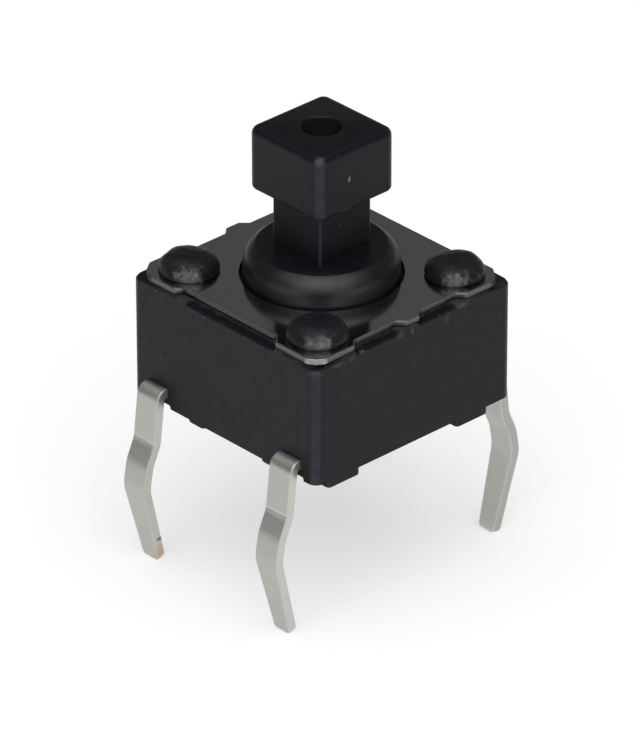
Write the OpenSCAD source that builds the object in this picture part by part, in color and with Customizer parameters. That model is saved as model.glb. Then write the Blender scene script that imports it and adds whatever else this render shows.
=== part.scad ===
// Through-hole tactile switch with a tall square-headed plunger.
// Millimetres, +Z up.  The origin is the centre of the terminal pattern on the board plane (z = 0):
// the housing's feet stand on that plane and the terminals reach below it.
// The terminals leave through the -X and +X walls.

/* [Housing] */
// Width of the square housing
body_w = 6.2; // [6:0.1:6.6]
// Height of the housing's rim above the board
rim_z = 3.25; // [3.1:0.05:3.6]
// Radius of the upright corners
corner_r = 0.25; // [0.15:0.05:0.35]
// Height of the feet that hold the walls off the board
stand_off = 0.2; // [0.1:0.05:0.25]
// Length of each foot along its wall
foot_l = 1; // [0.7:0.05:1.1]
// Depth of each foot in from its wall
foot_depth = 0.4; // [0.3:0.05:0.6]
// Distance from the -X wall to the middle of the first foot under the -Y wall
first_foot_inset = 0.9; // [0.7:0.05:1.1]
// Distance from the +X wall to the middle of the second foot under the -Y wall
second_foot_inset = 1.25; // [0.8:0.05:1.4]
// Length of each small side foot along its wall
side_foot_l = 0.55; // [0.4:0.05:0.7]
// Height of each small side foot, a little less than the others'
side_foot_h = 0.15; // [0.05:0.01:0.18]
// How far a side foot stands in from its wall
side_foot_inset = 0.08; // [0.04:0.01:0.15]
// Distance from the -Y leg to the middle of the first small foot under the -X wall
first_side_foot_gap = 0.82; // [0.8:0.01:1]
// Distance from the +Y leg to the middle of the second small foot under the -X wall
second_side_foot_gap = 1.21; // [0.8:0.01:1.3]
// Radius of the feet's upright corners
foot_r = 0.12; // [0.05:0.01:0.15]
// Depth of the rebates in the rim below the cover's recesses
rebate_h = 0.06; // [0.03:0.01:0.2]
// Plastic over the terminal strips in the floor
floor_skin = 0.1; // [0.08:0.01:0.15]

/* [Stakes] */
// Distance from a wall to the middle of a stake
stake_inset = 0.94; // [0.86:0.02:1]
// Diameter of a stake's shank
stake_d = 0.9; // [0.7:0.05:1]
// Diameter of a stake's melted head
stake_head_d = 1.4; // [1.25:0.05:1.5]
// Height of a stake's melted head
stake_head_h = 0.48; // [0.3:0.02:0.6]
// Height of the upright rim around that head
stake_rim_h = 0.12; // [0.05:0.01:0.2]
// Gap around a shank in the cover's hole
stake_gap = 0.05; // [0.03:0.01:0.1]

/* [Cover] */
// Thickness of the cover plate
cover_t = 0.15; // [0.1:0.05:0.3]
// How far the cover's edge lies in from the walls
cover_inset = 0.06; // [0.02:0.01:0.1]
// Length of the chamfer on each corner of the cover, along the edge
cover_chamfer = 0.38; // [0.25:0.01:0.45]
// Depth of the recesses in the cover's edges
recess_depth = 0.18; // [0.1:0.01:0.2]
// Length of the recess in the -X and +X edges
side_recess_l = 3.4; // [2.8:0.1:3.5]
// Length of the recessed stretch in the -Y and +Y edges
front_recess_l = 3.4; // [2.8:0.1:3.5]
// Width of the tip of the tab in the middle of that stretch
tab_w = 0.4; // [0.3:0.05:0.8]

/* [Plunger] */
// Diameter of the round base
base_d = 3.6; // [3.3:0.1:3.7]
// Height of the base above the cover
base_h = 0.72; // [0.5:0.02:1]
// Fillet on the base's upper edge
base_fillet = 0.3; // [0.1:0.05:0.4]
// Width of the square neck
neck_w = 1.6; // [1.3:0.1:1.8]
// Length of the neck
neck_h = 1.43; // [1:0.01:2]
// Width of the square head
head_w = 2.4; // [2.2:0.1:3]
// Height of the head
head_h = 1.62; // [1.4:0.02:2.2]
// Radius of the head's upright corners
head_corner_r = 0.25; // [0.1:0.05:0.35]
// Fillet around the head's top
head_top_r = 0.2; // [0.1:0.05:0.3]
// Fillet around the head's underside
head_under_r = 0.12; // [0.05:0.01:0.2]
// Diameter of the blind hole in the head's top
dimple_d = 0.95; // [0.8:0.05:1.1]
// Depth of that hole
dimple_depth = 1; // [0.6:0.1:1.2]
// How far the retaining flange reaches beyond the base
flange_lip = 0.4; // [0.25:0.05:0.45]
// Thickness of the retaining flange
flange_t = 0.6; // [0.4:0.1:0.8]
// Diameter of the boss that presses on the dome
boss_d = 1.4; // [1.2:0.1:1.6]
// Gap around the base in the cover's hole
guide_gap = 0.12; // [0.05:0.01:0.15]
// Gap around the flange in the housing
flange_gap = 0.15; // [0.1:0.01:0.2]
// Gap between the flange and the cover at rest
rest_gap = 0.02; // [0.01:0.01:0.04]
// Travel of the plunger
travel = 0.25; // [0.2:0.05:0.35]

/* [Dome] */
// Diameter of the snap dome
dome_d = 4.1; // [3.8:0.1:4.3]
// Thickness of the dome's sheet
dome_t = 0.08; // [0.06:0.01:0.1]
// Gap around the dome in its pocket
dome_gap = 0.05; // [0.03:0.01:0.1]
// Height of the pocket's wall above the dome's rim
pocket_h = 0.5; // [0.4:0.05:0.7]

/* [Terminals] */
// Distance between the two terminal rows' strips
strip_pitch = 4.5; // [4.4:0.05:4.6]
// Width of a strip and its legs
strip_w = 0.7; // [0.5:0.05:0.8]
// Thickness of the strip
strip_t = 0.25; // [0.2:0.05:0.3]
// Height of the strip's underside above the board
strip_z = 0.45; // [0.35:0.05:0.5]
// How far the shoulder's middle line stands out from the wall
shoulder_out = 0.19; // [0.17:0.01:0.24]
// The same for the crease below the board
crease_out = 0.34; // [0.25:0.01:0.38]
// The same for the knee
knee_out = 0.72; // [0.55:0.01:0.8]
// The same for the tip
tip_out = 0.15; // [0:0.01:0.25]
// Depth of the crease below the board
crease_drop = 0.68; // [0.5:0.01:0.9]
// Depth of the knee below the board
knee_drop = 1.78; // [1.6:0.01:2]
// Depth of the tips below the board
tip_drop = 3.85; // [3.4:0.05:4.2]
// Bend radius of the shoulder, to the middle line
shoulder_r = 0.2; // [0.18:0.01:0.24]
// Bend radius of the crease, to the middle line
crease_r = 0.3; // [0.2:0.05:0.6]
// Bend radius of the knee, to the middle line
knee_r = 1.4; // [1:0.1:1.6]
// Width of a leg at its tip, to which it narrows from the knee
tip_w = 0.5; // [0.4:0.05:0.6]
// Height of the tip's bevels
tip_bevel_h = 0.15; // [0.1:0.01:0.3]
// Width of the tip's bevels
tip_bevel_w = 0.11; // [0.05:0.01:0.15]
// Clearance beside and above a leg where it leaves the wall's foot
notch_gap = 0.07; // [0.04:0.01:0.12]
// Width of the tongue that carries the middle contact
tongue_w = 0.8; // [0.6:0.1:1]
// Width of the arms that carry the outer contacts
arm_w = 0.6; // [0.5:0.05:0.7]
// Distance from the dome's edge to the middle of an outer contact
contact_inset = 0.3; // [0.25:0.05:0.35]
// Diameter of the contact buttons
button_d = 0.6; // [0.5:0.05:0.7]
// How far the contact buttons stand above the floor
button_proud = 0.05; // [0.03:0.01:0.08]

/* [Hidden] */
$fn = 64;
// Extra depth of a cut past the face it opens
past = 0.5;

half_w = body_w / 2;
stake_at = half_w - stake_inset;
cover_half = half_w - cover_inset;
cover_top = rim_z + cover_t;

strip_top = strip_z + strip_t;
floor_z = strip_top + floor_skin;
button_z = floor_z + button_proud;

dome_r = dome_d / 2;
dome_top = button_z + travel + dome_t;
pocket_top = button_z + pocket_h;

base_top = cover_top + base_h;
neck_top = base_top + neck_h;
head_top = neck_top + head_h;
// How far the neck runs up into the head, half of what is solid under the blind hole
neck_root = (head_h - dimple_depth) / 2;
flange_top = rim_z - rest_gap;
flange_r = base_d / 2 + flange_lip;
cavity_r = flange_r + flange_gap;

strip_at = strip_pitch / 2;
outer_contact_at = dome_r - contact_inset;

// Middles of the feet under the -Y wall, in x; the +Y wall has the same, turned half round
foot_at = [first_foot_inset - half_w, half_w - second_foot_inset];
// Middles of the small feet under the -X wall, in y; the +X wall has the same, turned half round
side_foot_at = [first_side_foot_gap - strip_at, strip_at - second_side_foot_gap];

// Middle line of a leg, as [x, z, bend radius], from the middle of the switch out and down
leg_line = [
    [0, strip_z + strip_t / 2, 0],
    [half_w + shoulder_out, strip_z + strip_t / 2, shoulder_r],
    [half_w + crease_out, -crease_drop, crease_r],
    [half_w + knee_out, -knee_drop, knee_r],
    [half_w + tip_out, -tip_drop, 0]
];
// Number of straight steps in each bend of a leg
bend_steps = 10;

function heading(a, b) = atan2(b[1] - a[1], b[0] - a[0]);

// Points of the bend at corner i of a line, set off to the left by side
function bend(line, i, side) =
    let (
        before = heading(line[i - 1], line[i]),
        turn = heading(line[i], line[i + 1]) - before,
        hand = sign(turn),
        r = line[i][2],
        back = r * tan(abs(turn) / 2),
        start = [line[i][0] - back * cos(before), line[i][1] - back * sin(before)],
        centre = start + hand * r * [-sin(before), cos(before)]
    )
    [
        for (step = [0:bend_steps])
            let (angle = before + turn * step / bend_steps)
            centre + (side - hand * r) * [-sin(angle), cos(angle)]
    ];

// An end point of a line, set off to the left by side
function line_end(at, from, to, side) =
    [at[0], at[1]] + side * [-sin(heading(from, to)), cos(heading(from, to))];

// One edge of a line with bends
function line_edge(line, side) =
    let (last = len(line) - 1)
    concat(
        [line_end(line[0], line[0], line[1], side)],
        [for (i = [1:last - 1]) each bend(line, i, side)],
        [line_end(line[last], line[last - 1], line[last], side)]
    );

// Outline of a line of the given thickness
function line_outline(line, thickness) =
    let (left = line_edge(line, thickness / 2), right = line_edge(line, -thickness / 2))
    concat(left, [for (i = [len(right) - 1:-1:0]) right[i]]);

module rounded_square(size, r) {
    square([size, size - 2 * r], center = true);
    square([size - 2 * r, size], center = true);
    for (x = [-1, 1], y = [-1, 1])
        translate([x * (size / 2 - r), y * (size / 2 - r)])
            circle(r);
}

module at_corners(distance) {
    for (x = [-1, 1], y = [-1, 1])
        translate([x * distance, y * distance])
            children();
}

// Copies the -X or -Y wall's feature to the wall opposite
module both_ways() {
    children();
    rotate(180)
        children();
}

// Block with rounded upright corners, standing on its size[0] by size[1] plan
module foot(size, h) {
    linear_extrude(h) {
        translate([0, foot_r])
            square(size - [0, 2 * foot_r]);
        translate([foot_r, 0])
            square(size - [2 * foot_r, 0]);
        for (x = [foot_r, size[0] - foot_r], y = [foot_r, size[1] - foot_r])
            translate([x, y])
                circle(foot_r);
    }
}

// The feet reach up into the walls, so that they are one piece with them
module feet() {
    both_ways() {
        for (x = foot_at)
            translate([x - foot_l / 2, -half_w, 0])
                foot([foot_l, foot_depth], 2 * stand_off);
        for (y = side_foot_at)
            translate([side_foot_inset - half_w, y - side_foot_l / 2, stand_off - side_foot_h])
                foot([foot_depth, side_foot_l], 2 * stand_off);
    }
}

// Plan of a recess that opens towards -Y, with slanted ends; length is measured along y = 0
module recess(length) {
    polygon([
        [0, -past],
        [length, -past],
        [length, 0],
        [length - recess_depth, recess_depth],
        [recess_depth, recess_depth],
        [0, 0]
    ]);
}

// Plan of the recesses in the cover's -X and +X edges
module side_recesses() {
    both_ways()
        rotate(-90)
            translate([-side_recess_l / 2, -cover_half])
                recess(side_recess_l);
}

// Plan of the recesses in the cover's -Y and +Y edges, with a tab between each two
module front_recesses() {
    both_ways()
        for (x = [-front_recess_l / 2, tab_w / 2])
            translate([x, -cover_half])
                recess((front_recess_l - tab_w) / 2);
}

// Rim rebates below the recesses of the cover
module rebates() {
    translate([0, 0, rim_z - rebate_h])
        linear_extrude(rebate_h + past) {
            side_recesses();
            front_recesses();
        }
}

module cavity() {
    translate([0, 0, floor_z])
        cylinder(h = pocket_top - floor_z, r = dome_r + dome_gap);
    translate([0, 0, pocket_top])
        cylinder(h = rim_z - pocket_top + past, r = cavity_r);
}

// Relief in the foot of the wall around each leg
module leg_notches() {
    for (x = [-1, 1], y = [-1, 1])
        translate([x * half_w, y * strip_at, stand_off])
            cube([2 * strip_t, strip_w + 2 * notch_gap, 2 * notch_gap], center = true);
}

module stake() {
    cap_r = stake_head_d / 2;
    cap_h = stake_head_h - stake_rim_h;
    // The head is a low upright rim under the cap of a ball
    ball_r = (cap_r * cap_r + cap_h * cap_h) / (2 * cap_h);
    translate([0, 0, rim_z - past])
        cylinder(h = past + cover_t, d = stake_d);
    translate([0, 0, cover_top])
        rotate_extrude() {
            square([cap_r, stake_rim_h]);
            intersection() {
                translate([0, stake_head_h - ball_r])
                    circle(ball_r);
                square([cap_r, stake_head_h]);
            }
        }
}

module housing() {
    color([0.19, 0.19, 0.2]) {
        difference() {
            union() {
                translate([0, 0, stand_off])
                    linear_extrude(rim_z - stand_off)
                        rounded_square(body_w, corner_r);
                feet();
            }
            cavity();
            rebates();
            leg_notches();
            middle_contact_terminal();
            outer_contact_terminal();
        }
        at_corners(stake_at)
            stake();
    }
}

module cover_outline() {
    reach = cover_half - cover_chamfer;
    difference() {
        polygon([
            for (turn = [0:90:270], end = [[cover_half, -reach], [cover_half, reach]])
                [
                    end[0] * cos(turn) - end[1] * sin(turn),
                    end[0] * sin(turn) + end[1] * cos(turn)
                ]
        ]);
        side_recesses();
        front_recesses();
        circle(base_d / 2 + guide_gap);
        at_corners(stake_at)
            circle(stake_d / 2 + stake_gap);
    }
}

module cover() {
    color([0.45, 0.45, 0.45])
        translate([0, 0, rim_z])
            linear_extrude(cover_t)
                cover_outline();
}

// Side view of the head: fillets around its top and its underside
module head_profile() {
    flat = head_h - head_top_r - head_under_r;
    translate([-head_w / 2, head_under_r])
        square([head_w, flat]);
    translate([head_under_r - head_w / 2, 0])
        square([head_w - 2 * head_under_r, head_h / 2]);
    translate([head_top_r - head_w / 2, head_h / 2])
        square([head_w - 2 * head_top_r, head_h / 2]);
    for (x = [-1, 1]) {
        translate([x * (head_w / 2 - head_under_r), head_under_r])
            circle(head_under_r);
        translate([x * (head_w / 2 - head_top_r), head_h - head_top_r])
            circle(head_top_r);
    }
}

module head() {
    difference() {
        intersection() {
            linear_extrude(head_h)
                rounded_square(head_w, head_corner_r);
            for_side_view()
                head_profile();
            rotate(90)
                for_side_view()
                    head_profile();
        }
        translate([0, 0, head_h - dimple_depth])
            cylinder(h = dimple_depth + past, d = dimple_d);
    }
}

// Stands a side view up and extrudes it through the head
module for_side_view() {
    rotate([90, 0, 0])
        linear_extrude(2 * head_w, center = true)
            children();
}

// Half section of the round base, its flange and the boss below
module base_section() {
    base_r = base_d / 2;
    flange_z = flange_top - flange_t;
    translate([0, flange_z])
        square([flange_r, flange_t]);
    translate([0, flange_z])
        square([base_r, base_top - base_fillet - flange_z]);
    translate([0, base_top - 2 * base_fillet])
        square([base_r - base_fillet, 2 * base_fillet]);
    intersection() {
        translate([base_r - base_fillet, base_top - base_fillet])
            circle(base_fillet);
        square([base_r, base_top]);
    }
    translate([0, dome_top])
        square([boss_d / 2, flange_z - dome_top]);
}

module plunger() {
    color([0.13, 0.13, 0.14]) {
        rotate_extrude()
            base_section();
        translate([0, 0, base_top - base_fillet])
            linear_extrude(base_fillet + neck_h + neck_root)
                square(neck_w, center = true);
        translate([0, 0, neck_top])
            head();
    }
}

// Half section of a shallow dome sheet with a flat rim
module dome_section() {
    rise = travel;
    span = outer_contact_at;
    ball_r = (span * span + rise * rise) / (2 * rise);
    intersection() {
        difference() {
            translate([0, rise + dome_t - (ball_r + dome_t)])
                circle(ball_r + dome_t, $fn = 360);
            translate([0, rise - ball_r])
                circle(ball_r, $fn = 360);
        }
        square([dome_r, rise + dome_t]);
    }
    translate([span, 0])
        square([dome_r - span, dome_t]);
}

module snap_dome() {
    color([0.75, 0.75, 0.72])
        translate([0, 0, button_z])
            rotate_extrude()
                dome_section();
}

// Front view of a strip and its legs: narrowed below the knee, with bevelled tips
module strip_front() {
    side = strip_w / 2;
    tip = tip_w / 2;
    bevel_z = tip_bevel_h - tip_drop;
    polygon([
        [-side, strip_top],
        [side, strip_top],
        [side, -knee_drop],
        [tip, bevel_z],
        [tip - tip_bevel_w, -tip_drop],
        [tip_bevel_w - tip, -tip_drop],
        [-tip, bevel_z],
        [-side, -knee_drop]
    ]);
}

// Strip across the floor with a bent leg at each end
module strip() {
    intersection() {
        for (side = [0, 1])
            mirror([side, 0, 0])
                rotate([90, 0, 0])
                    linear_extrude(strip_w, center = true)
                        polygon(line_outline(leg_line, strip_t));
        rotate([90, 0, 90])
            linear_extrude(4 * body_w, center = true)
                strip_front();
    }
}

// Contact button formed up from the strip
module button() {
    translate([0, 0, strip_z])
        cylinder(h = button_z - strip_z, d = button_d);
}

module middle_contact_terminal() {
    color([0.72, 0.72, 0.69]) {
        translate([0, strip_at, 0])
            strip();
        translate([-tongue_w / 2, 0, strip_z])
            cube([tongue_w, strip_at, strip_t]);
        translate([0, 0, strip_z])
            cylinder(h = strip_t, d = tongue_w);
        button();
    }
}

module outer_contact_terminal() {
    color([0.72, 0.72, 0.69]) {
        translate([0, -strip_at, 0])
            strip();
        for (x = [-1, 1])
            translate([x * outer_contact_at, 0, 0]) {
                translate([-arm_w / 2, -strip_at, strip_z])
                    cube([arm_w, strip_at + arm_w / 2, strip_t]);
                button();
            }
    }
}

housing();
cover();
plunger();
snap_dome();
middle_contact_terminal();
outer_contact_terminal();
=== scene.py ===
import math

import bmesh
import bpy
from mathutils import Matrix, Vector, noise


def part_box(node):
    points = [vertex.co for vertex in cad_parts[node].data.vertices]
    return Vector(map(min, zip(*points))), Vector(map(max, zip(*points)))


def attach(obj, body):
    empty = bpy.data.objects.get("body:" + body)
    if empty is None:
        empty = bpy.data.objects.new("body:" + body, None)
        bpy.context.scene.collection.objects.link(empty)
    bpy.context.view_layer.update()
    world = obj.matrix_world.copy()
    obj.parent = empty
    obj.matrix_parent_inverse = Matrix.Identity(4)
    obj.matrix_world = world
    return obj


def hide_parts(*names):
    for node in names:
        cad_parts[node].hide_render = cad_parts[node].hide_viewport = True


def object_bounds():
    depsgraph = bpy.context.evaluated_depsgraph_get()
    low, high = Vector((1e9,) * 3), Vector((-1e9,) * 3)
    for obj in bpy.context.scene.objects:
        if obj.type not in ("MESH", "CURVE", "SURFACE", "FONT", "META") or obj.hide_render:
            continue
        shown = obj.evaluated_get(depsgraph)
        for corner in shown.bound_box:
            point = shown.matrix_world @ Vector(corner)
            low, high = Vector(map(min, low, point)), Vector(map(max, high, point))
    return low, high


# The tall-plunger tactile switch, dressed: each visible piece is a finer mesh of the CAD solid
# that it stands for, with moulded, stamped or melted detail.  Meshes are made in millimetres,
# in the frame of the CAD model, and scaled to metres at the end.

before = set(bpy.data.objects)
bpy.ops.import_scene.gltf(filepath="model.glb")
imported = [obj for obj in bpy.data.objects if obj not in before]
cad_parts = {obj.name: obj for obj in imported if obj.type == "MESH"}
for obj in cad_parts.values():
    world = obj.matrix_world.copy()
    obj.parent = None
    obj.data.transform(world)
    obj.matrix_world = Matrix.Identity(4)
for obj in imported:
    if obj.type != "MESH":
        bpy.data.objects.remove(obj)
cad_low, cad_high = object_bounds()
scene = bpy.context.scene
MM = 0.001

BASE = "switch_base"
PLUNGER = "plunger"


def box_mm(node):
    """Lowest and highest corner of a CAD node, in millimetres."""
    low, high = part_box(node)
    return low / MM, high / MM


housing_high = box_mm("housing")[1]
cover_low, cover_high = box_mm("cover")
plunger_low, plunger_high = box_mm("plunger")
terminal_low, terminal_high = box_mm("middle_contact_terminal")

# ---------------------------------------------------------------- sizes, mm

# Terminals
STRIP_AT = 2.25
STRIP_W, TIP_W, STRIP_T = 0.7, 0.5, 0.25
STRIP_Z = 0.45
STRIP_EDGE_R = 0.035
BUTTON_R, BUTTON_EDGE_R = 0.3, 0.05
CONTACT_AT, TONGUE_HALF, ARM_HALF = 1.75, 0.4, 0.3
BUTTON_TOP = terminal_high.z
TIP_Z = terminal_low.z
CREASE_Z, KNEE_Z = -0.68, -1.8
# Length of the tip's round end, and what that end loses in width on each side and in thickness
TIP_TAPER, TIP_CUT, TIP_THINNING = 0.15, 0.11, 0.11

# Housing
HALF = housing_high.x
RIM_Z = cover_low.z
CORNER_R = 0.25
WALL_Z = 0.2
EDGE_R = 0.035
FOOT_L, FOOT_DEPTH, FOOT_R = 1.0, 0.4, 0.12
FOOT_AT = (0.9 - HALF, HALF - 1.25)
SIDE_FOOT_L, SIDE_FOOT_H, SIDE_FOOT_INSET = 0.55, 0.15, 0.08
SIDE_FOOT_AT = (0.82 - STRIP_AT, STRIP_AT - 1.21)
FLOOR_Z, POCKET_TOP, POCKET_R, CAVITY_R = 0.8, 1.35, 2.1, 2.35
# Room around a leg where it leaves the wall: along X, Y and Z
NOTCH = (0.5, 0.84, 0.14)
# The rim is lower at its blunt corners: by how much, and where that begins and is complete,
# as the distance along X plus Y from where a square corner would be
BLUNT_DROP, BLUNT_FROM, BLUNT_TO = 0.07, 0.4, 0.2

# Cover
COVER_TOP = cover_high.z
COVER_HALF = cover_high.x
# Chamfers of the corners at -X -Y and +X +Y, and of the other two
SMALL_CHAMFER, LARGE_CHAMFER = 0.3, 0.45
CHAMFER_BULGE = 0.035
OUTLINE_R = 0.13
RECESS_L, RECESS_DEPTH, TAB_W = 3.4, 0.18, 0.4
# The +X edge is punched nearer to the middle, with a shallow recess and no bend
FAR_HALF, FAR_DEPTH = COVER_HALF - 0.07, 0.08
# The front recess starts a little nearer to its corner than it ends from the other one
FRONT_START = -1.83
GUIDE_R = 1.9
# Width and drop of a rounding: of the top edge, of the bend in a side recess, and round the holes
ROLL = (0.045, 0.03)
BEND = (0.14, 0.062)
HOLE_ROLL = (0.02, 0.015)
BURR = 0.012

# Rebates in the rim: under the side recess along Y, and under the front recess along X
REBATE_H = 0.06
SIDE_REBATE = (-RECESS_L / 2, 1.26)
FRONT_REBATES = ((FRONT_START, -0.45), (0.12, 1.33))

# Stakes
STAKE_AT = HALF - 0.94
STAKE_R = 0.45
STAKE_GAP = 0.05
STAKE_HEAD_R = 0.73
STAKE_HEAD_TOP = housing_high.z
# Height of the rolled foot of a melted head, and what its crown keeps below the top for lumps
STAKE_FOOT_H, STAKE_SPARE = 0.035, 0.04
# How far lumps and drips swell a melted head, as shares of its radius
LUMPS, DRIPS = 0.022, 0.016

# Plunger, from the top down
TOP_Z = plunger_high.z
HOLE_R, HOLE_DEPTH, HOLE_LIP_R = 0.475, 1.0, 0.05
HEAD_HALF, HEAD_CORNER_R, HEAD_TOP_R, HEAD_UNDER_R = 1.2, 0.25, 0.2, 0.12
NECK_HALF, NECK_CORNER_R, NECK_ROOT_R = 0.8, 0.06, 0.02
BASE_TOP = COVER_TOP + 0.72
NECK_TOP = BASE_TOP + 1.43
BASE_R, SHOULDER_R, SHOULDER_SLOPE = 1.82, 1.55, 62
# The base's top ends in a crease: how far inside the shoulder and how far down its rings lie
CREASE = ((0.04, 0), (0.012, 0.007))
SHOULDER_DROP = 0.018
FLANGE_R = plunger_high.x
FLANGE_TOP, FLANGE_LOW, FLANGE_EDGE_R = RIM_Z - 0.02, RIM_Z - 0.62, 0.06
BOSS_R = 0.7
BOSS_Z = plunger_low.z

# ---------------------------------------------------------------- mesh tools


def arc(centre, radius, start, end, steps):
    """Points of an arc from start to end degrees, both included."""
    turns = [math.radians(start + (end - start) * i / steps) for i in range(steps + 1)]
    return [(centre[0] + radius * math.cos(t), centre[1] + radius * math.sin(t)) for t in turns]


def rounded(corners, radius, steps=5):
    """Closed outline with its corners rounded, less so where the sides are too short for it."""
    points = []
    for i, corner in enumerate(corners):
        at = Vector(corner)
        back = Vector(corners[i - 1]) - at
        on = Vector(corners[(i + 1) % len(corners)]) - at
        half_angle = back.angle(on) / 2
        reach = min(radius / math.tan(half_angle), 0.48 * back.length, 0.48 * on.length)
        start, end = at + back.normalized() * reach, at + on.normalized() * reach
        for k in range(steps + 1):
            share = k / steps
            # A quadratic curve through the corner's two tangent points
            point = start * (1 - share) ** 2 + at * 2 * share * (1 - share) + end * share**2
            points.append(tuple(point))
    return points


def turned(points, degrees):
    """Points turned about the origin."""
    c, s = math.cos(math.radians(degrees)), math.sin(math.radians(degrees))
    return [(x * c - y * s, x * s + y * c) for x, y in points]


def rectangle(low, high):
    return [(low[0], low[1]), (high[0], low[1]), (high[0], high[1]), (low[0], high[1])]


def loft(rings, into=None):
    """Closed skin through rings of as many points each, capped at both ends."""
    bm = into or bmesh.new()
    rows = [[bm.verts.new(p) for p in ring] for ring in rings]
    count = len(rows[0])
    for low, high in zip(rows, rows[1:]):
        for i in range(count):
            j = (i + 1) % count
            bm.faces.new((low[i], low[j], high[j], high[i]))
    bm.faces.new(rows[0][::-1])
    bm.faces.new(rows[-1])
    return bm


def prism(outline, low, high, into=None):
    """Upright block over an outline."""
    return loft([[(x, y, z) for x, y in outline] for z in (low, high)], into)


def lathe(profile, steps, at=(0, 0), into=None):
    """Solid turned about the upright line through at; the profile is [radius, z] from below."""
    circle = [2 * math.pi * i / steps for i in range(steps)]
    rings = [
        [(at[0] + r * math.cos(t), at[1] + r * math.sin(t), z) for t in circle] for r, z in profile
    ]
    return loft(rings, into)


def as_object(bm, name="tool"):
    bmesh.ops.recalc_face_normals(bm, faces=bm.faces)
    mesh = bpy.data.meshes.new(name)
    bm.to_mesh(mesh)
    bm.free()
    made = bpy.data.objects.new(name, mesh)
    scene.collection.objects.link(made)
    return made


def with_modifiers(made):
    """Mesh of an object after its modifiers; the object itself is removed."""
    graph = bpy.context.evaluated_depsgraph_get()
    mesh = bpy.data.meshes.new_from_object(made.evaluated_get(graph))
    bpy.data.objects.remove(made)
    return mesh


def combine(body, tools):
    """Cuts or joins solids: tools is a list of (operation, bmesh). Returns a bmesh."""
    base = as_object(body)
    cutters = []
    for operation, tool in tools:
        cutter = as_object(tool)
        cutters.append(cutter)
        modifier = base.modifiers.new(operation.lower(), "BOOLEAN")
        modifier.object = cutter
        modifier.operation = operation
        modifier.solver = "EXACT"
    mesh = with_modifiers(base)
    for cutter in cutters:
        bpy.data.objects.remove(cutter)
    bm = bmesh.new()
    bm.from_mesh(mesh)
    bpy.data.meshes.remove(mesh)
    bmesh.ops.remove_doubles(bm, verts=bm.verts, dist=1e-5)
    bmesh.ops.dissolve_limit(
        bm, angle_limit=math.radians(0.5), verts=bm.verts, edges=bm.edges, delimit={"NORMAL"}
    )
    return bm


def round_edges(bm, width, segments, chosen):
    """Rounds the chosen edges that turn by more than 35 degrees."""
    sharp = [e for e in bm.edges if e.calc_face_angle(0) > math.radians(35) and chosen(e)]
    bmesh.ops.bevel(
        bm,
        geom=sharp,
        offset=width,
        offset_type="OFFSET",
        segments=segments,
        profile=0.5,
        affect="EDGES",
        clamp_overlap=False,
        loop_slide=True,
        miter_outer="ARC",
    )


def piece(name, bm, materials, body, replaces=None):
    """Makes a finished piece of a bmesh in millimetres and puts it on its body."""
    bmesh.ops.recalc_face_normals(bm, faces=bm.faces)
    for face in bm.faces:
        face.smooth = True
    for edge in bm.edges:
        edge.smooth = edge.calc_face_angle(0) < math.radians(40)
    temporary = as_object(bm, name + "_mm")
    weighted = temporary.modifiers.new("weighted", "WEIGHTED_NORMAL")
    weighted.weight = 60
    weighted.keep_sharp = True
    mesh = with_modifiers(temporary)
    mesh.transform(Matrix.Scale(MM, 4))
    mesh.name = name
    made = bpy.data.objects.new(name, mesh)
    scene.collection.objects.link(made)
    for material in materials:
        mesh.materials.append(material)
    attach(made, body)
    if replaces:
        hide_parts(replaces)
    return made


# ---------------------------------------------------------------- node tools


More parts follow.
